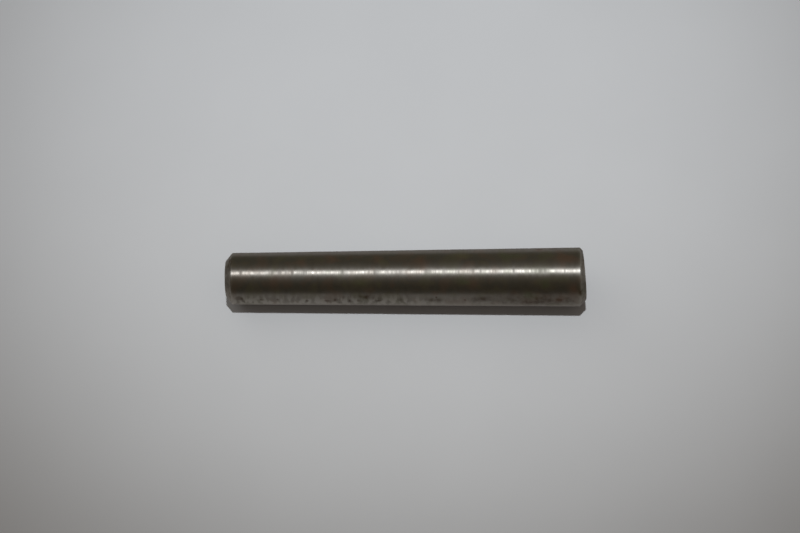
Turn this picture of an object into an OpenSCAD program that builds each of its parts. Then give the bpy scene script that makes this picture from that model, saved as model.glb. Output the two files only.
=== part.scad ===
// Taper pin: a plain conical pin of round steel bar, ground 1 in 48 on the diameter.
// It stands on its small end. The origin is the centre of the small end's face, and
// +Z runs along the axis to the large end, which is the end that the pin is driven by.

/* [Body] */
// Length over both end faces, in mm (2 1/2 in)
pin_length = 63.5; // [40:0.5:120]
// Diameter of the cone where it would meet the large end's face, in mm (size No. 7)
large_diameter = 10.39; // [8:0.01:16]
// Length over which the diameter grows by one unit (48 is 1/4 in per foot)
taper_ratio = 48; // [40:1:100]

/* [Small end] */
// Length of the small end's chamfer along the axis, in mm
small_chamfer_length = 1.15; // [0.6:0.05:1.6]
// Depth of the small end's chamfer across the radius, in mm
small_chamfer_depth = 1.4; // [0.6:0.05:1.8]

/* [Large end] */
// Length of the large end's chamfer along the axis, in mm
large_chamfer_length = 1.1; // [0.8:0.05:1.6]
// Depth of the large end's chamfer across the radius, in mm
large_chamfer_depth = 1.2; // [0.8:0.05:1.8]
// Angle by which the large end's face is out of square, in degrees
face_skew = 4.5; // [0:0.5:5]

/* [Edges] */
// Radius to which the sharp edges are broken, in mm
edge_radius = 0.25; // [0.1:0.05:0.5]

/* [Hidden] */

// Segments round the pin, and steps in each rounded edge
round_steps = 96;
edge_steps = 4;

// Distance by which the cutter of the large end's face stands out past the pin
cutter_margin = 2;

// Radius of the cone at a height above the small end's face
function cone_radius(height) = (large_diameter - (pin_length - height) / taper_ratio) / 2;

// Corners of half the pin's section, as [radius, height], before the edges are broken
small_centre = [0, 0];
small_face_edge = [cone_radius(0) - small_chamfer_depth, 0];
small_cone_edge = [cone_radius(small_chamfer_length), small_chamfer_length];
large_cone_height = pin_length - large_chamfer_length;
large_cone_edge = [cone_radius(large_cone_height), large_cone_height];
large_face_edge = [cone_radius(pin_length) - large_chamfer_depth, pin_length];
large_centre = [0, pin_length];

function unit(v) = v / norm(v);

// Points of the arc that breaks a corner: it touches the edge from the corner before
// and the edge to the corner after
function broken_edge(before, corner, after) =
    let (
        back = unit(before - corner),
        ahead = unit(after - corner),
        half_angle = acos(back * ahead) / 2,
        centre = corner + unit(back + ahead) * edge_radius / sin(half_angle),
        start = corner + back * edge_radius / tan(half_angle) - centre,
        start_angle = atan2(start.y, start.x),
        turn = 180 - 2 * half_angle
    )
    [for (step = [0:edge_steps])
        let (angle = start_angle + turn * step / edge_steps)
        centre + edge_radius * [cos(angle), sin(angle)]];

large_face_arc = broken_edge(large_cone_edge, large_face_edge, large_centre);

// Radius at which the large end's flat face begins
large_flat_radius = large_face_arc[edge_steps].x;

// The pin as it leaves the lathe, with both faces square to the axis
module turned_pin() {
    rotate_extrude($fn = round_steps)
        polygon(concat(
            [small_centre],
            broken_edge(small_centre, small_face_edge, small_cone_edge),
            broken_edge(small_face_edge, small_cone_edge, large_cone_edge),
            broken_edge(small_cone_edge, large_cone_edge, large_face_edge),
            large_face_arc,
            [large_centre]
        ));
}

// Block over the large end, tipped about the +X edge of the flat face
module face_cutter() {
    width = large_diameter + 2 * cutter_margin;
    translate([large_flat_radius, 0, pin_length])
        rotate([0, -face_skew, 0])
            translate([-width, -width / 2, 0])
                cube([width + cutter_margin, width, cutter_margin]);
}

module taper_pin() {
    color("dimgray")
        difference() {
            turned_pin();
            face_cutter();
        }
}

taper_pin();
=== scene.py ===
# %% [markdown]
# # A taper pin
#
# A taper pin is a short bar of steel that grows very slowly from one end to the other. It is
# driven into a hole of the same taper, and wedges there. This one is old: its ground surface
# has gone dark, with brown stains, dents along one side, and a chamfer turned on each end.
#
# The lesson starts with the pin's shape, as one surface of revolution. Then it adds the wear, as
# small moves of that surface, and the marks that have no depth. The steel is a material that
# reads those marks. The sheet, the lights and the camera come last.

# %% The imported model
import math

import bpy
import numpy as np
from mathutils import Matrix, Vector


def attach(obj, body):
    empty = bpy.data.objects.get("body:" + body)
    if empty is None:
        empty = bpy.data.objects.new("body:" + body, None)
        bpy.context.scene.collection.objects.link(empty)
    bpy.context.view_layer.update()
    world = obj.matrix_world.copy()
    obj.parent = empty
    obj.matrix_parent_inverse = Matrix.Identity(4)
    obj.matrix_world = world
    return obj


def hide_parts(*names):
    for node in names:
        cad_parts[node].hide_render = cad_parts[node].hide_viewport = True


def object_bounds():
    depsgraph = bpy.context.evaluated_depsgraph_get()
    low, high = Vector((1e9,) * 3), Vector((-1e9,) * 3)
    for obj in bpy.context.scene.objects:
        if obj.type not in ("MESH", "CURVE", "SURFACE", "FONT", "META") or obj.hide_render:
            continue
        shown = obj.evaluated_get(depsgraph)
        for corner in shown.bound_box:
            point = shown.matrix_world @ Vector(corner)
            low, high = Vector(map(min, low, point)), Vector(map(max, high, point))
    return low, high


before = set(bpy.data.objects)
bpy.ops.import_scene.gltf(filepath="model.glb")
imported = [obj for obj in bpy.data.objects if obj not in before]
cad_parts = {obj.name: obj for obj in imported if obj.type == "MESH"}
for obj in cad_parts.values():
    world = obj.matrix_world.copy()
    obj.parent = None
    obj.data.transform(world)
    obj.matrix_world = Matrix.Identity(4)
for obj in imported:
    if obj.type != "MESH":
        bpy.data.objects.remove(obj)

MM = 0.001
cad_low, cad_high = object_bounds()
print("The CAD model measures", [round((b - a) / MM, 3) for a, b in zip(cad_low, cad_high)], "mm")

# %% [markdown]
# ## The pin's sizes
#
# The cone could be typed in as two diameters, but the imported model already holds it. Its widest
# ring is one point of the cone's wall, and the standard taper of 1 in 48 gives every other point.
# Only the ends need sizes of their own: each chamfer has a length along the axis and a depth
# across the radius, all the edges are broken by one small radius, and the large end's face was
# cut a few degrees out of square.

# %% Sizes of the cone and its ends, in metres
TAPER = 1 / 48
SMALL_CHAMFER = 1.15 * MM, 1.4 * MM
LARGE_CHAMFER = 1.1 * MM, 1.2 * MM
FACE_SKEW = math.radians(4.5)
EDGE_RADIUS = 0.25 * MM

cad_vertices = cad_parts["taper_pin"].data.vertices
cad_points = np.empty(len(cad_vertices) * 3)
cad_vertices.foreach_get("co", cad_points)
cad_points = cad_points.reshape(-1, 3)
cad_radii = np.hypot(cad_points[:, 0], cad_points[:, 1])
widest = cad_radii.argmax()
pin_length = cad_high.z


def cone_radius(height):
    """Radius at the widest ring, plus half the taper for each unit of height above that ring."""
    return cad_radii[widest] + (height - cad_points[widest, 2]) * TAPER / 2


print(f"The cone is {2 * cone_radius(0) / MM:.2f} mm across at the small end's plane,")
print(f"and {2 * cone_radius(pin_length) / MM:.2f} mm at the large end's plane.")

# %% [markdown]
# ## The profile
#
# Half the pin's section, turned round the axis, gives the whole pin. A lathe works the same way,
# and Blender's Spin tool or Screw modifier could do it too. Here the section is worked out with
# numpy, because the large end's face leans: each column of the surface has a slightly different
# section, and a whole array of sections costs no more to write than one.
#
# Every array below has the shape (rows, columns, 2). A row runs round the pin, a column runs
# from the small end's centre to the large end's centre, and the last two values are radius and
# height.

# %% Corners of the section, one for each column
COLUMNS = 216
angles = np.linspace(0, 2 * np.pi, COLUMNS, endpoint=False)


def corner(radius, height):
    """The same radius and height in every column, unless either is already one per column."""
    return np.stack(np.broadcast_arrays(radius, height, angles)[:2], axis=-1)


small_face_edge = corner(cone_radius(0) - SMALL_CHAMFER[1], 0)
small_cone_edge = corner(cone_radius(SMALL_CHAMFER[0]), SMALL_CHAMFER[0])
large_cone_height = pin_length - LARGE_CHAMFER[0]
large_cone_edge = corner(cone_radius(large_cone_height), large_cone_height)

square_face_radius = cone_radius(pin_length) - LARGE_CHAMFER[1]
chamfer_slope = (large_cone_edge[0, 0] - square_face_radius) / LARGE_CHAMFER[0]
face_slope = math.tan(FACE_SKEW)
lean = face_slope * np.cos(angles)
# The leaning face falls by its slope times the way from its high edge. The chamfer narrows by
# its own slope. Setting the two heights equal gives the radius where they meet.
meeting_radius = square_face_radius * (1 + chamfer_slope * face_slope) / (1 + chamfer_slope * lean)
centre_height = pin_length - square_face_radius * face_slope
meeting_height = centre_height + meeting_radius * lean
large_face_edge = corner(meeting_radius, meeting_height)
large_centre = corner(0, centre_height)
small_centre = corner(0, 0)
print(f"The large end's chamfer is from {(meeting_height.min() - large_cone_height) / MM:.2f} mm")
print(f"to {(meeting_height.max() - large_cone_height) / MM:.2f} mm long round the pin.")

# %% [markdown]
# ## Edges that catch the light
#
# No edge on a real pin is perfectly sharp. A Bevel modifier could break the edges, but an arc
# worked out for each corner gives rows that the rest of the grid can join.

# %% Arcs and straight stretches
ARC_STEPS = 6


def unit(vectors):
    """Each vector divided by its own length."""
    return vectors / np.linalg.norm(vectors, axis=-1, keepdims=True)


def broken_edge(before, at, after):
    """Arc that touches both sides of a corner. Its centre lies on the corner's bisector, at the
    edge radius over the sine of half the corner's angle, and its points turn evenly between the
    two directions in which the arc touches the sides."""
    back = unit(before - at)
    ahead = unit(after - at)
    half = np.arccos((back * ahead).sum(-1, keepdims=True)) / 2
    centre = at + unit(back + ahead) * EDGE_RADIUS / np.sin(half)
    first = unit(at + back * EDGE_RADIUS / np.tan(half) - centre)
    last = unit(at + ahead * EDGE_RADIUS / np.tan(half) - centre)
    turn = np.pi - 2 * half
    share = np.linspace(0, 1, ARC_STEPS + 1)[:, None, None]
    return centre + EDGE_RADIUS * (
        first * np.sin((1 - share) * turn) + last * np.sin(share * turn)
    ) / np.sin(turn)


def stretch(start, end, rows):
    """Rows evenly spaced between two rows, without those two."""
    share = np.linspace(0, 1, rows + 2)[1:-1, None, None]
    return start + (end - start) * share


# %% The whole surface
FACE_ROWS = 14
CHAMFER_ROWS = 8
BODY_ROWS = 372

small_face_arc = broken_edge(small_centre, small_face_edge, small_cone_edge)
small_cone_arc = broken_edge(small_face_edge, small_cone_edge, large_cone_edge)
large_cone_arc = broken_edge(small_cone_edge, large_cone_edge, large_face_edge)
large_face_arc = broken_edge(large_cone_edge, large_face_edge, large_centre)
stretches = [
    stretch(small_centre, small_face_arc[0], FACE_ROWS),
    small_face_arc,
    stretch(small_face_arc[-1], small_cone_arc[0], CHAMFER_ROWS),
    small_cone_arc,
    stretch(small_cone_arc[-1], large_cone_arc[0], BODY_ROWS),
    large_cone_arc,
    stretch(large_cone_arc[-1], large_face_arc[0], CHAMFER_ROWS),
    large_face_arc,
    stretch(large_face_arc[-1], large_centre, FACE_ROWS),
]
section = np.concatenate(stretches)
smooth_points = np.stack([
    section[..., 0] * np.cos(angles),
    section[..., 0] * np.sin(angles),
    section[..., 1],
], axis=-1)
ROWS = len(section)
print("The grid has", ROWS, "rows of", COLUMNS, "points.")

# %% [markdown]
# ## Wear
#
# A used pin is not a perfect cone. Its wall waves by a few thousandths of a millimetre, which
# nobody could feel but which breaks the long highlight into pieces. It also has dents where it
# was struck.
#
# A bump map could fake all of it, and does for the finest marks. What is large enough to see is
# moved in the mesh, along the surface's own normal, so that it is there from every side.

# %% Normals of the smooth surface
along = np.gradient(smooth_points, axis=0)
around = np.roll(smooth_points, -1, axis=1) - np.roll(smooth_points, 1, axis=1)
normals = unit(np.cross(around, along))
heights = smooth_points[..., 2]
turns = np.broadcast_to(angles, heights.shape)
surface_radius = section[..., 0]
print("The first body normal points", normals[ROWS // 2, 0].round(3))


# %% Waves
def waves(random, count, length_range, stretch_round):
    """Sum of sine waves over height and angle, with a spread of one. Each wave has a whole number
    of periods round the pin, so that the surface closes. The waves are longer round the pin than
    along it, by the stretch."""
    lengths = random.uniform(*length_range, count)
    headings = random.uniform(0, 2 * np.pi, count)
    per_height = np.cos(headings) / lengths
    mean_radius = cone_radius(pin_length / 2)
    per_turn = np.round(np.sin(headings) / lengths * 2 * np.pi * mean_radius / stretch_round)
    phases = random.uniform(0, 2 * np.pi, count)
    total = np.zeros_like(heights)
    for rise, periods, phase in zip(per_height, per_turn, phases):
        total += np.sin(2 * np.pi * rise * heights + periods * turns + phase)
    return total * math.sqrt(2 / count)


RIPPLE_HEIGHT = 0.0016 * MM
SWELL_SHARE = 2.5
random = np.random.default_rng(7)
ripple = waves(random, count=60, length_range=(0.9 * MM, 2.4 * MM), stretch_round=1.6)
swell = waves(random, count=24, length_range=(4 * MM, 12 * MM), stretch_round=1.5)
relief = RIPPLE_HEIGHT * (ripple + SWELL_SHARE * swell)
print(f"The wall waves by {relief.std() / MM * 1000:.1f} thousandths of a millimetre.")

# %% [markdown]
# ## Dents
#
# Most of the dents lie in a row along one side, as on a pin that was gripped or driven out of
# its hole. A few are near the ends.
#
# Each one is a soft hollow: a bell curve over the distance from its centre, measured along the
# pin and round it. A raised lip round the hollow is the metal that was pushed aside.

# %% How far each point is from a mark
def how_far(height, angle, half_length, half_width):
    """Distance from a mark's centre: 0 at the centre and 1 at the mark's rim. It's the root of
    three squares added up: the way along the pin over the half length, and the way round it and
    the way inwards from the cone, each over the half width. The height and both halves are in
    millimetres, and the angle is in degrees."""
    off_along = (heights - height * MM) / (half_length * MM)
    off_turn = (turns - math.radians(angle) + np.pi) % (2 * np.pi) - np.pi
    off_round = off_turn * surface_radius / (half_width * MM)
    inwards = (cone_radius(heights) - surface_radius) / (half_width * MM)
    return np.sqrt(off_along**2 + off_round**2 + inwards**2)


# %% Dents, as (height, angle, half length, half width, depth in mm)
DENTS = [
    (2.5, -15, 1.1, 0.9, 0.03),
    (0.85, -112, 0.3, 0.8, 0.03),
    (6.5, -11, 0.6, 0.4, 0.04),
    (9.3, -12, 0.3, 0.3, 0.02),
    (14.5, -8, 0.4, 0.5, 0.04),
    (18.0, -8, 0.8, 0.5, 0.05),
    (19.4, -11, 0.3, 0.6, 0.03),
    (22.0, -9, 0.3, 0.6, 0.03),
    (23.5, -9, 0.4, 0.7, 0.03),
    (27.1, -9, 0.7, 0.4, 0.04),
    (37.2, -21, 0.3, 0.4, 0.02),
    (42.2, -13, 0.3, 0.4, 0.02),
    (55.3, -137, 0.9, 0.5, 0.015),
    (57.6, -140, 1.2, 0.4, 0.015),
    (58.7, -14, 0.9, 0.5, 0.03),
]
HOLLOW_FALL = 1.5
LIP_HEIGHT = 0.15
LIP_PLACE = 1.25
LIP_WIDTH = 0.3
filled = np.zeros_like(heights)
for *place, depth in DENTS:
    far = how_far(*place)
    hollow = np.exp(-HOLLOW_FALL * far**2)
    lip = LIP_HEIGHT * np.exp(-((far - LIP_PLACE) / LIP_WIDTH) ** 2)
    relief += depth * MM * (lip - hollow)
    filled = np.maximum(filled, hollow)
print(len(DENTS), "dents, the deepest", max(dent[-1] for dent in DENTS), "mm")

# %% [markdown]
# ## Stains and dull spots
#
# Some marks have no depth at all. Old oil has left patches of red-brown and of olive, and dark
# grime has dried on here and there. One broad dark patch among the grime is painted shade: it
# darkens the lower side toward the large end, a darker reflection of the sheet painted into the
# steel. The side that the highlight runs along has dull spots, where the grinding marks were
# rubbed away, and long faint hazes beside them.
#
# They could be painted on a map, but a list of places is shorter, and easy to change.


# %% Stains and dull spots, as (height, angle, half length, half width)
def marked(places):
    """The strongest of the marks at each point: 1 at a mark's centre, falling to 0 past its rim."""
    return np.max([np.exp(-how_far(*place) ** 2) for place in places], axis=0)


red_stains = marked([
    (8.8, -60, 1.0, 1.6),
    (13.5, -103, 0.9, 0.8),
    (18.8, -114, 1.1, 1.0),
    (27.0, -109, 0.9, 1.0),
    (34.8, -95, 1.0, 1.3),
    (41.6, -115, 1.2, 0.8),
    (43.7, -54, 1.0, 1.2),
    (55.2, -134, 0.7, 0.7),
    (59.4, -106, 1.9, 1.2),
    (58.7, -14, 1.0, 0.7),
    (61.1, -44, 0.9, 1.0),
    (21.0, 70, 2.2, 1.6),
    (39.0, 128, 2.6, 1.8),
    (52.0, 98, 1.6, 1.2),
])
olive_stains = marked([
    (24.0, -55, 2.4, 1.2),
    (41.6, -62, 1.5, 1.0),
    (50.7, -113, 2.2, 1.0),
    (53.6, -25, 1.6, 1.0),
    (55.9, -56, 1.7, 1.0),
    (63.0, -30, 0.9, 1.6),
    (11.0, 150, 3.0, 1.6),
    (46.0, 60, 2.4, 1.6),
])
grime_and_dim_reflection = marked([
    # The first, broad patch is painted shade: it darkens the lower side toward the large end, a
    # darker reflection of the sheet there. The rest is grime.
    (55.2, -8, 7.5, 2.2),
    (53.2, -16, 1.6, 0.9),
    (58.6, -16, 1.5, 0.8),
    (62.4, -33, 0.4, 0.8),
    (24.8, -21, 1.6, 0.7),
    (36.9, -12, 1.3, 0.5),
    (45.6, -16, 2.0, 0.7),
    (0.9, -106, 0.4, 1.2),
    (31.0, 40, 5.0, 1.6),
    (8.0, 118, 4.0, 1.6),
])
hazes = marked([
    (13.0, -63, 4.0, 0.8),
    (24.0, -64, 9.0, 0.9),
    (33.5, -64, 4.0, 0.9),
    (21.5, -95, 5.0, 0.7),
    (39.0, -96, 4.0, 0.7),
    (54.0, -96, 8.0, 0.7),
])
dull_spots = marked([
    (2.9, -80, 0.25, 0.8),
    (8.5, -79, 0.55, 1.0),
    (9.8, -80, 0.3, 0.8),
    (12.0, -80, 0.25, 0.8),
    (14.3, -81, 0.4, 0.9),
    (20.8, -81, 0.3, 0.8),
    (26.6, -81, 0.5, 1.0),
    (28.6, -80, 0.25, 0.8),
    (35.5, -81, 0.6, 1.0),
    (43.6, -80, 0.35, 0.8),
    (45.0, -80, 0.3, 0.8),
    (47.6, -80, 0.2, 0.8),
    (50.8, -80, 0.2, 0.8),
    (55.8, -79, 0.9, 1.0),
    (59.7, -79, 0.15, 0.8),
    (17.0, 110, 0.6, 1.2),
    (33.0, 95, 0.8, 1.4),
    (49.0, 160, 0.6, 1.2),
])
print(f"Red-brown covers {(red_stains > 0.5).mean():.0%}, olive {(olive_stains > 0.5).mean():.0%}.")

# %% [markdown]
# ## Maps for the material
#
# The material needs to know where it is on the pin. A node could read that from the height, but
# the height says nothing on a flat face. So the mesh carries values of its own: the way along
# the section, which the turning and grinding marks follow, how near the closest edge is, whether
# the spot lies on a turned end or on the ground wall, and how badly that side is scuffed. Edges
# are the first part of a pin to be rubbed bright, so they get a value of their own.

# %% The way along the section, the edges and the ends
BURNISH_REACH = 0.28 * MM
steps = np.linalg.norm(np.diff(section, axis=0), axis=-1)
way = np.concatenate([np.zeros((1, COLUMNS)), np.cumsum(steps, axis=0)])
first_rows = np.cumsum([0] + [len(part) for part in stretches])
arc_rows = [first_rows[number] + ARC_STEPS // 2 for number in (1, 3, 5, 7)]
burnish = sum(np.exp(-((way - way[row]) / BURNISH_REACH) ** 2) for row in arc_rows)
row_numbers = np.arange(ROWS)[:, None]
ends = np.where((row_numbers < arc_rows[1]) | (row_numbers > arc_rows[2]), 1.0, 0.0)
ends = np.broadcast_to(ends, heights.shape)
print(f"The way over the pin is {way[-1].mean() / MM:.1f} mm long.")

# %% The scuffed side
SCUFF_ANGLE = math.radians(-4)
SCUFF_SPREAD = math.radians(18)
SCUFF_END = 31 * MM
SCUFF_FADE = 8 * MM
SCUFF_LOSS = 0.6
from_scuffs = (turns - SCUFF_ANGLE + np.pi) % (2 * np.pi) - np.pi
past_scuffs = np.clip((heights - SCUFF_END) / SCUFF_FADE, 0, 1)
scuffed = np.exp(-((from_scuffs / SCUFF_SPREAD) ** 2)) * (1 - SCUFF_LOSS * past_scuffs)
print(f"Scuffs cover {(scuffed > 0.5).mean():.0%} of the pin.")

# %% [markdown]
# ## From arrays to a mesh
#
# Neighbouring rows and columns make quads, and the last column joins the first. The two poles
# are single points with a fan of triangles, so the skin is closed. All faces share their points,
# and smooth shading does the rest, because the edges have arcs of their own.

# %% The pin's mesh
points = smooth_points + normals * relief[..., None]
poles = np.array([[0, 0, 0], [0, 0, large_centre[0, 1]]])
index = np.arange(ROWS * COLUMNS).reshape(ROWS, COLUMNS)
beside = np.roll(index, -1, axis=1)
quads = np.stack([index[:-1], beside[:-1], beside[1:], index[1:]], axis=-1).reshape(-1, 4)
small_pole = np.full(COLUMNS, ROWS * COLUMNS)
large_pole = small_pole + 1
small_fan = np.stack([small_pole, beside[0], index[0]], axis=-1)
large_fan = np.stack([large_pole, index[-1], beside[-1]], axis=-1)

mesh = bpy.data.meshes.new("ground_pin")
mesh.from_pydata(
    np.concatenate([points.reshape(-1, 3), poles]),
    [],
    quads.tolist() + small_fan.tolist() + large_fan.tolist(),
)
mesh.polygons.foreach_set("use_smooth", np.ones(len(mesh.polygons), bool))
for name, values, at_poles in [
    ("way_mm", way / MM, [0, way[-1].max() / MM]),
    ("filled", filled, [0, 0]),
    ("red_stain", red_stains, [0, 0]),
    ("olive_stain", olive_stains, [0, 0]),
    ("grime_and_dim_reflection", grime_and_dim_reflection, [0, 0]),
    ("haze", hazes, [0, 0]),
    ("dull_spot", dull_spots, [0, 0]),
    ("burnish", burnish, [0, 0]),
    ("turned_end", ends, [1, 1]),
    ("scuffed", scuffed, [0, 0]),
]:
    attribute = mesh.attributes.new(name, "FLOAT", "POINT")
    attribute.data.foreach_set("value", np.append(values.ravel(), at_poles))
mesh.validate()
mesh.update()
ground_pin = bpy.data.objects.new("ground_pin", mesh)
bpy.context.scene.collection.objects.link(ground_pin)
print("The pin has", len(mesh.polygons), "faces.")

# %% [markdown]
# ## Shader maths as Python
#
# A material is a graph of nodes. Drawing a long graph by hand hides its formula, so this small
# class lets the formula be written as one: an expression on wires adds its Math nodes.


# %% A wire that Python can calculate with
class Wire:
    """One output socket of a node tree."""

    def __init__(self, tree, socket=None):
        self.tree = tree
        self.socket = socket

    def node(self, kind, settings=(), values=(), output=0):
        """Adds a node, makes its settings, then fills or links its input sockets."""
        made = self.tree.nodes.new(kind)
        for name, value in dict(settings).items():
            setattr(made, name, value)
        for name, value in dict(values).items():
            if isinstance(value, Wire):
                self.tree.links.new(value.socket, made.inputs[name])
            else:
                made.inputs[name].default_value = value
        return Wire(self.tree, made.outputs[output] if made.outputs else None)

    def sibling(self, output):
        """Another output of the same node."""
        return Wire(self.tree, self.socket.node.outputs[output])

    def math(self, operation, first, second=0.0, clamped=False):
        """One Math node. If it's clamped, its result is held between 0 and 1."""
        return self.node(
            "ShaderNodeMath",
            {"operation": operation, "use_clamp": clamped},
            {0: first, 1: second},
        )

    def __add__(self, other):
        return self.math("ADD", self, other)

    def __radd__(self, other):
        return self.math("ADD", other, self)

    def __sub__(self, other):
        return self.math("SUBTRACT", self, other)

    def __rsub__(self, other):
        return self.math("SUBTRACT", other, self)

    def __mul__(self, other):
        return self.math("MULTIPLY", self, other)

    def __rmul__(self, other):
        return self.math("MULTIPLY", other, self)

    def clamped(self):
        """The value held between 0 and 1."""
        return self.math("ADD", self, 0.0, clamped=True)

    def noise(self, place, scale, detail):
        """Noise between 0 and 1 with this many periods for each unit of the place."""
        return self.node(
            "ShaderNodeTexNoise", {}, {"Vector": place, "Scale": scale, "Detail": detail}
        )

    def rising(self, low, high):
        """0 below low, 1 above high, and a smooth step between."""
        return self.node(
            "ShaderNodeMapRange",
            {"interpolation_type": "SMOOTHSTEP"},
            {"Value": self, "From Min": low, "From Max": high},
        )

    def blend(self, share, first, second):
        """The first colour where share is 0, the second where it is 1."""
        return self.node(
            "ShaderNodeMix",
            {"data_type": "RGBA"},
            {0: share, 6: first, 7: second},
            output=2,
        )

    def scaled(self, place, factors):
        """A place with each of its coordinates multiplied by its own factor."""
        return self.node(
            "ShaderNodeVectorMath", {"operation": "MULTIPLY"}, {0: place, 1: factors}
        )


# %% [markdown]
# ## Old ground steel
#
# Grinding leaves thousands of fine grooves that run round the pin. Across the grooves the light
# spreads wide, and along them it hardly spreads at all. On a pin that lies across the view, that
# draws the highlight out into one thin line from end to end. Blender's Anisotropic socket does
# this; its rotation of a quarter turn puts the wide spread along the axis.
#
# The steel is much darker than polished steel, because oil and a thin brown oxide cover it. The
# stains are patches of that oxide, so they are browner, and rougher too.
#
# A picture of old steel could be wrapped round the pin, but it would stretch on the chamfers and
# blur up close. Noise is worked out at each point, so it stays sharp at any distance.

# %% The material, and where a point is on the pin
PER_MM = 1000.0
steel = bpy.data.materials.new("ground_steel")
steel.use_nodes = True
steel.node_tree.nodes.clear()
start = Wire(steel.node_tree)


def carried(name):
    """A value that the mesh carries at each of its points."""
    return start.node("ShaderNodeAttribute", {"attribute_name": name}, output="Fac")


in_mm = start.scaled(start.node("ShaderNodeTexCoord", output="Object"), (PER_MM,) * 3)
across_x = start.node("ShaderNodeSeparateXYZ", {}, {0: in_mm})
across_y = across_x.sibling("Y")
way_mm = carried("way_mm")
print("The material measures in millimetres:", PER_MM, "to a metre.")

# %% [markdown]
# ### Noise of several sizes
#
# Grooves are noise stretched round the pin: along the pin it changes several times in each
# millimetre, and round the pin only every few millimetres. Blotches and clouds are as long as
# they are wide. Marks of one size only would look like cloth, so each kind has its own.


# %% Grooves, smears, blotches and clouds
def marks(per_mm_round, per_mm_along, detail):
    """Noise whose marks run round the pin: it changes slowly across and fast along the way."""
    place = start.node(
        "ShaderNodeCombineXYZ",
        {},
        {0: across_x * per_mm_round, 1: across_y * per_mm_round, 2: way_mm * per_mm_along},
    )
    return start.noise(place, 1.0, detail)


# Each kind's marks in a millimetre round the pin and along it, and how many finer layers it has
fine_groove = marks(0.3, 3.8, 3.0)
coarse_groove = marks(0.25, 1.9, 2.0)
slow_groove = marks(0.1, 0.35, 1.0)
smear = marks(0.5, 1.5, 1.0)
blotch = start.noise(in_mm, 1.1, 2.0)
speckle = start.noise(in_mm, 2.6, 2.0)
cloud = start.noise(in_mm, 0.3, 2.0)
print("So far the material has", len(steel.node_tree.nodes), "nodes.")

# %% [markdown]
# ### How strongly each mark shows
#
# Every mark is a number at each point: 0 where it's missing and 1 where it's at its strongest. A
# smooth step over noise gives patches with soft rims. Times a value that the mesh carries, it
# gives patches on one side only.
#
# The scuffs are made of two things side by side. Dirt has stayed in the low places, and the high
# places between them are rubbed bare. They come in groups, because a mark that repeats evenly
# down the whole side would look like a pattern that someone put there.

# %% Stains, scuffs, grime and a painted darker reflection
on_end = carried("turned_end")
rubbed = carried("burnish")
scuffed_side = carried("scuffed")
in_dent = carried("filled").rising(0.25, 0.9)
dull_spot = carried("dull_spot") + carried("haze")

# Red clouds are where the noise is high, and olive clouds where it's low.
red = (cloud.rising(0.5, 0.66) * 0.45 + carried("red_stain") * 0.8).clamped()
olive = (cloud.rising(0.5, 0.34) * 0.7 + carried("olive_stain") * 0.9).clamped()
group = slow_groove.rising(0.38, 0.6)
dirt = (smear * 0.6 + blotch * 0.4).rising(0.47, 0.71) * (scuffed_side * group * 0.72 + 0.08)
bare = (1.0 - smear + scuffed_side * 0.1).rising(0.5, 0.66) * scuffed_side
mottle = blotch.rising(0.4, 0.65) * on_end
# The grime map also holds the painted darker reflection on the lower side toward the large end.
grimy_and_dim_reflection = carried("grime_and_dim_reflection") * (0.55 + blotch.rising(0.35, 0.65) * 0.4)

# %% Colours of the metal, from the stained steel up to the dirt and painted shade
STEEL = (0.165, 0.160, 0.150, 1)
RED_STEEL = (0.160, 0.145, 0.130, 1)
OLIVE_STEEL = (0.153, 0.155, 0.137, 1)
DIRT_AND_DIM_REFLECTION = (0.045, 0.038, 0.030, 1)
BARE_STEEL = (0.30, 0.30, 0.29, 1)
polished = (bare * 0.6 + rubbed * 0.5 + on_end * 0.3).clamped()
# The dirt colour also paints that darker reflection, where the grime map's broad patch lies.
dirty_and_dim_reflection = (dirt + in_dent * 0.6 + mottle * 0.32 + grimy_and_dim_reflection).clamped()
metal = start.blend(red, STEEL, RED_STEEL)
metal = start.blend(olive, metal, OLIVE_STEEL)
metal = start.blend(polished, metal, BARE_STEEL)
metal = start.blend(dirty_and_dim_reflection, metal, DIRT_AND_DIM_REFLECTION)
print("Clean steel sends back", STEEL[:3], "of red, green and blue.")

# %% [markdown]
# ### Roughness and the finest relief
#
# Where the grooves are rougher the highlight is wider and dimmer, so the same noise that lifts
# the surface also spreads the light. The bump is a few thousandths of a millimetre high.

# %% The metal's surface
ANISOTROPY = 0.74
QUARTER_TURN = 0.25
roughness = (
    0.144 + fine_groove * 0.175 + coarse_groove * 0.16 + slow_groove * 0.15 + dull_spot * 0.1
    + red * 0.02 + in_dent * 0.08 + on_end * 0.08
)
bump_height = (
    fine_groove * 0.002 + coarse_groove * 0.003 + blotch * 0.003 + speckle * 0.0015
)
bumped = start.node(
    "ShaderNodeBump", {}, {"Strength": 1.0, "Distance": MM, "Height": bump_height}
)
bare_surface = start.node(
    "ShaderNodeBsdfPrincipled",
    {},
    {
        "Base Color": metal,
        "Metallic": 1.0,
        "Roughness": roughness,
        "Anisotropic": ANISOTROPY,
        "Anisotropic Rotation": QUARTER_TURN,
        "Normal": bumped,
    },
)

# %% [markdown]
# ### The film over the metal
#
# Rust and dried oil are not metal. They scatter light like paint, so a stain still shows its
# colour where the metal round it mirrors nothing but a dark room. The film is thin, and covers
# only a small share of the metal even where a stain is strongest.

# %% The film of rust and old oil
RUST = (0.148, 0.063, 0.029, 1)
OLD_OIL = (0.080, 0.085, 0.020, 1)
FILM_ROUGHNESS = 0.5
film_colour = start.blend(olive, RUST, OLD_OIL)
film = start.node(
    "ShaderNodeBsdfPrincipled",
    {},
    {"Base Color": film_colour, "Roughness": FILM_ROUGHNESS, "Normal": bumped},
)
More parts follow.
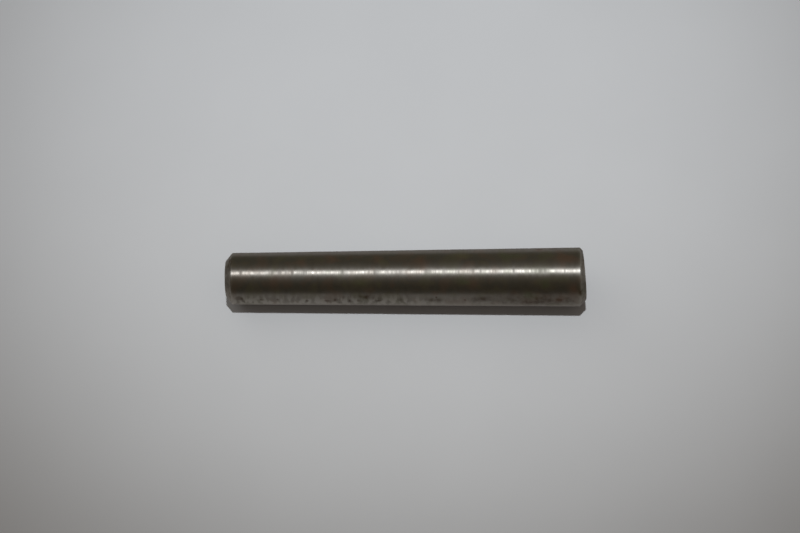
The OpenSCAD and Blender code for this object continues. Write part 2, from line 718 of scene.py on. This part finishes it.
# The film is thicker under the grime map, and that includes its painted darker reflection.
cover = (red * 0.19 + olive * 0.17 + in_dent * 0.1 + grimy_and_dim_reflection * 0.1).clamped()
surface = start.node("ShaderNodeMixShader", {}, {0: cover, 1: bare_surface, 2: film})
start.node("ShaderNodeOutputMaterial", {}, {"Surface": surface})
ground_pin.data.materials.append(steel)
print("The finished steel has", len(steel.node_tree.nodes), "nodes.")

# %% [markdown]
# ## The pin's place in the model
#
# The finished pin takes the place of the plain solid, and moves with the model's only body.

# %% Hand the pin to the frame
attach(ground_pin, "root")
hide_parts("taper_pin")
print("The pin replaces the node taper_pin.")

# %% [markdown]
# ## The sheet
#
# The pin lies on a pale sheet, and touches it along one line of its wall. In the frame the pin
# stands on its small end, so the sheet stands too: it leans by half the taper, and faces the
# camera. Seen from behind it is clear, so that it hides no side of the pin.
#
# The steel doesn't mirror this sheet itself. Close under the pin the sheet is black with shadow,
# and it would leave the pin's back without any light. The world shows the steel a bright sheet
# without a shadow instead, as a white card held behind it would.
#
# The sheet's colour is a little bluer on the side of the window than on the other side: a painted
# cast of the window's light. A blue window would not do that, because it is far away and lights the
# whole sheet evenly.

# %% The sheet that the pin lies on
SHEET_HALF = 95 * MM
touch_radius = cone_radius(0)
sheet_slope = TAPER / 2
sheet_low, sheet_high = pin_length / 2 - SHEET_HALF, pin_length / 2 + SHEET_HALF
corners = [
    (across, touch_radius + sheet_slope * height, height)
    for across, height in [
        (-SHEET_HALF, sheet_low),
        (SHEET_HALF, sheet_low),
        (SHEET_HALF, sheet_high),
        (-SHEET_HALF, sheet_high),
    ]
]
sheet_mesh = bpy.data.meshes.new("sheet")
sheet_mesh.from_pydata(corners, [], [(0, 1, 2, 3)])
sheet = bpy.data.objects.new("sheet", sheet_mesh)
sheet.visible_glossy = False
sheet.visible_shadow = False
bpy.context.scene.collection.objects.link(sheet)
print(f"The sheet is {2 * SHEET_HALF / MM:.0f} mm square.")

# %% The sheet's material
PAPER_DARK = (0.712, 0.744, 0.774, 1)
PAPER_LIGHT = (0.745, 0.778, 0.809, 1)
PAINTED_WINDOW_CAST = (0.988, 0.998, 1.014)
PAINTED_FAR_CAST = (1.007, 1.002, 0.996)
MOTTLES_PER_METRE = 60.0
paper = bpy.data.materials.new("paper")
paper.use_nodes = True
paper.node_tree.nodes.clear()
page = Wire(paper.node_tree)
page_place = page.node("ShaderNodeTexCoord", output="Object")
page_mottle = page.noise(page_place, MOTTLES_PER_METRE, 3.0)
page_colour = page.blend(page_mottle, PAPER_DARK, PAPER_LIGHT)
# Painted light: the sheet's colour shifts bluer toward the window side and warmer away from it.
painted_cast_side = page.node("ShaderNodeSeparateXYZ", {}, {0: page_place}).rising(-90 * MM, 60 * MM)
page_with_painted_cast = page.blend(
    painted_cast_side,
    page.scaled(page_colour, PAINTED_WINDOW_CAST),
    page.scaled(page_colour, PAINTED_FAR_CAST),
)
page_white = page.node("ShaderNodeBsdfDiffuse", {}, {"Color": page_with_painted_cast})
page_back = page.node("ShaderNodeNewGeometry", output="Backfacing")
page_clear = page.node("ShaderNodeBsdfTransparent")
page_surface = page.node("ShaderNodeMixShader", {}, {0: page_back, 1: page_white, 2: page_clear})
page.node("ShaderNodeOutputMaterial", {}, {"Surface": page_surface})
sheet_mesh.materials.append(paper)
print("The sheet's material has", len(paper.node_tree.nodes), "nodes.")

# %% [markdown]
# ## Light
#
# One small lamp stands straight out from the sheet. It makes the thin highlight and the crisp
# shadow. A second one lights the pin's back, behind the sheet.
#
# A lamp shows in steel only as a small bright spot. Everything else that steel shows is the room
# round it, so the room matters more here than the lamps do. It could be built from walls and
# cards, but a few soft patches of light in the world's background do the same.

# %% The two lamps
LAMP_DISTANCE = 1500 * MM
LAMP_RADIUS = 30 * MM
LAMP_POWER = 46.8
LAMP_BEAM = math.radians(9.6)
LAMP_DIRECTION = Vector((0.0015, -0.9996, 0.0268))
LAMP_AIM = Vector((-38 * MM, touch_radius, pin_length / 2 + 2 * MM))
BACK_LAMP_DIRECTION = Vector((-0.42, 0.9, 0.1)).normalized()
pin_middle = Vector((0, 0, pin_length / 2))


def hang_lamp(name, direction, aim, bounces):
    """A small round lamp at the lamps' distance in a direction from the pin's middle."""
    data = bpy.data.lights.new(name, "SPOT")
    data.energy = LAMP_POWER
    data.shadow_soft_size = LAMP_RADIUS
    data.spot_size = LAMP_BEAM
    data.spot_blend = 1.0
    data.cycles.max_bounces = bounces
    lamp = bpy.data.objects.new(name, data)
    lamp.location = pin_middle + direction * LAMP_DISTANCE
    lamp.rotation_mode = "QUATERNION"
    lamp.rotation_quaternion = (aim - lamp.location).to_track_quat("-Z", "Y")
    bpy.context.scene.collection.objects.link(lamp)


hang_lamp("lamp", LAMP_DIRECTION, LAMP_AIM, bounces=12)
hang_lamp("back_lamp", BACK_LAMP_DIRECTION, pin_middle, bounces=0)
lamp_width = math.degrees(2 * LAMP_RADIUS / LAMP_DISTANCE)
print(f"Seen from the pin, each lamp is {lamp_width:.1f} degrees wide.")

# %% [markdown]
# ### The room
#
# The world answers three kinds of rays in three ways. A ray from the camera sees an even grey.
# A ray that the steel mirrors sees the room's two halves: in front a dark, warm room, with a glow
# round the lamp, a faint light from the side and a brighter one from past the large end, and
# behind it the bright sheet, darker where the pin itself is in the way. All other rays, which
# light the paper, see a soft room with a window. So do the rays that reach the steel by way of
# the paper, or the paper close to the pin would be lit through it.

# %% Colours and directions of the room's light
DARK_ROOM = (0.125, 0.110, 0.077, 1)
SOFT_ROOM = (0.123, 0.103, 0.089, 1)
GLOW = (0.24, 0.21, 0.165, 1)
WINDOW = (0.50, 0.50, 0.47, 1)
MIRRORED_SHEET = (0.43, 0.40, 0.365, 1)
SIDE_LIGHT = (0.048, 0.054, 0.038, 1)
END_LIGHT = (0.33, 0.305, 0.275, 1)
WINDOW_DIRECTION = Vector((-0.55, -0.4, -0.73)).normalized()
SIDE_DIRECTION = Vector((-0.98, -0.2, 0.0)).normalized()
END_DIRECTION = Vector((-0.3, -0.2, 0.93)).normalized()
BACKDROP = (0.5, 0.5, 0.5, 1)
BLACK = (0, 0, 0, 1)
# The dark room is darker on the +X side. The pin hides most of the sheet under itself.
DARKER_SIDE = 0.78
HIDDEN_SHARE = 0.85
# Where the room's front half gives way to the sheet, by how far the ray points toward +Y
HORIZON = 0.01, 0.2
# Lights in front, as (direction, fall, colour): the higher the fall, the smaller the light
FRONT_LIGHTS = [
    (LAMP_DIRECTION, 5.3, GLOW),
    (SIDE_DIRECTION, 9.0, SIDE_LIGHT),
    (END_DIRECTION, 5.0, END_LIGHT),
]
HIDDEN_FALL = 9.0
WINDOW_FALL = 6.0
print(f"The sheet is {MIRRORED_SHEET[1] / DARK_ROOM[1]:.1f} times as bright as the room.")

# %% The world
room = bpy.data.worlds.new("room")
room.use_nodes = True
room.node_tree.nodes.clear()
air = Wire(room.node_tree)
looking = air.node("ShaderNodeTexCoord", output="Generated")
toward_x = air.node("ShaderNodeSeparateXYZ", {}, {0: looking})
toward_y = toward_x.sibling("Y")
glossy = air.node("ShaderNodeLightPath", output="Is Glossy Ray")
scattered = air.node("ShaderNodeLightPath", output="Diffuse Depth")
mirrored = glossy * (1.0 - scattered).clamped()
seen = air.node("ShaderNodeLightPath", output="Is Camera Ray")


def lobe(direction, fall):
    """Soft light from one direction: e to the power of the cosine minus 1, times the fall."""
    cosine = air.node(
        "ShaderNodeVectorMath", {"operation": "DOT_PRODUCT"}, {0: looking, 1: direction}, "Value"
    )
    return air.math("EXPONENT", (cosine - 1.0) * fall)


def sum_of(first, second):
    """Two colours of light, added."""
    return air.node("ShaderNodeVectorMath", {"operation": "ADD"}, {0: first, 1: second})


darker_room = air.scaled(DARK_ROOM[:3], (DARKER_SIDE,) * 3)
front_half = air.blend(0.5 - toward_x * 0.5, darker_room, DARK_ROOM)
for direction, fall, colour in FRONT_LIGHTS:
    front_half = sum_of(front_half, air.blend(lobe(direction, fall), BLACK, colour))
under_the_pin = lobe(BACK_LAMP_DIRECTION, HIDDEN_FALL) * HIDDEN_SHARE
back_half = air.blend(under_the_pin, MIRRORED_SHEET, BLACK)
in_the_steel = air.blend(toward_y.rising(*HORIZON), front_half, back_half)
window = air.blend(lobe(WINDOW_DIRECTION, WINDOW_FALL), BLACK, WINDOW)
on_the_paper = sum_of(SOFT_ROOM[:3], window)
light = air.blend(mirrored, on_the_paper, in_the_steel)
air_light = air.node(
    "ShaderNodeBackground", {}, {"Color": air.blend(seen, light, BACKDROP), "Strength": 1.0}
)
air.node("ShaderNodeOutputWorld", {}, {"Surface": air_light})
bpy.context.scene.world = room
print("The world has", len(room.node_tree.nodes), "nodes.")

# %% [markdown]
# ## The camera
#
# The camera looks down on the lying pin from about 25 degrees off the sheet's normal, with a
# long lens, and it is turned on its side so that the pin lies across the picture.

# %% The camera
CAMERA_DISTANCE = 563.9 * MM
CAMERA_AZIMUTH = math.radians(24.81)
CAMERA_ELEVATION = math.radians(2.24)
CAMERA_ROLL = math.radians(-0.3)
CAMERA_AIM = Vector((-1.82 * MM, -0.84 * MM, 30.73 * MM))
SENSOR_WIDTH = 36.0
FOCAL_LENGTH = 144.0

camera_data = bpy.data.cameras.new("camera")
camera_data.sensor_width = SENSOR_WIDTH
camera_data.lens = FOCAL_LENGTH
camera_data.clip_start = 10 * MM
camera = bpy.data.objects.new("camera", camera_data)
back = Vector((
    math.sin(CAMERA_AZIMUTH) * math.cos(CAMERA_ELEVATION),
    -math.cos(CAMERA_AZIMUTH) * math.cos(CAMERA_ELEVATION),
    math.sin(CAMERA_ELEVATION),
))
right = (Vector((0, 0, 1)) - back * back.z).normalized()
up = back.cross(right)
turned = Matrix.Rotation(CAMERA_ROLL, 3, back) @ Matrix((right, up, back)).transposed()
camera.matrix_world = Matrix.Translation(CAMERA_AIM + back * CAMERA_DISTANCE) @ turned.to_4x4()
bpy.context.scene.collection.objects.link(camera)
bpy.context.scene.camera = camera
bpy.context.scene.view_settings.view_transform = "Standard"
picture_width = CAMERA_DISTANCE * SENSOR_WIDTH / FOCAL_LENGTH
print(f"At the pin, the picture is {picture_width / MM:.0f} mm wide.")
